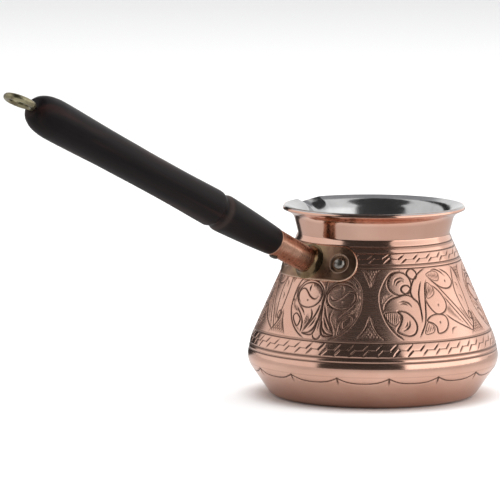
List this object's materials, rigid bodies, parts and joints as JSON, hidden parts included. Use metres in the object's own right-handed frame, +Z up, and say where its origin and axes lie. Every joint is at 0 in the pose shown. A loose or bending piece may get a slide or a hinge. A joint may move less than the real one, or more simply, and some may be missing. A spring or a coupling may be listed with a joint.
{
  "type": "turkish coffee pot",
  "caption": "Small copper coffee pot with an engraved conical body, flared rim with a pressed spout, tinned inside, and a long turned dark wooden handle with a brass hanging eye.",
  "frame": {"origin": "centre of the flat base, on the surface that the pot stands on", "axes": "+Z up along the pot's axis, the handle points along -X and rises, the spout points along +Y, turned 5 degrees towards the handle"},
  "size_m": [0.2283, 0.0958, 0.1259],
  "materials": {
    "copper": "polished copper, engraved lines darkened",
    "tin": "bright wiped tin",
    "plate_copper": "polished copper, slightly browned",
    "socket_copper": "polished copper tube",
    "braze": "dull yellow brazing metal",
    "rivet_metal": "hammered bright heads",
    "dark_wood": "satin, almost black brown",
    "dark_steel": "blackened",
    "eye_brass": "dull plated brass wire"
  },
  "bodies": {
    "root": {"pot_shell": "copper", "tin_lining": "tin", "handle_plate": "plate_copper", "handle_socket": "socket_copper", "braze_fillet": "braze", "rivet_left": "rivet_metal", "rivet_right": "rivet_metal", "wood_handle": "dark_wood", "socket_screw": "dark_steel", "hanging_eye": "eye_brass"}
  },
  "joints": []
}
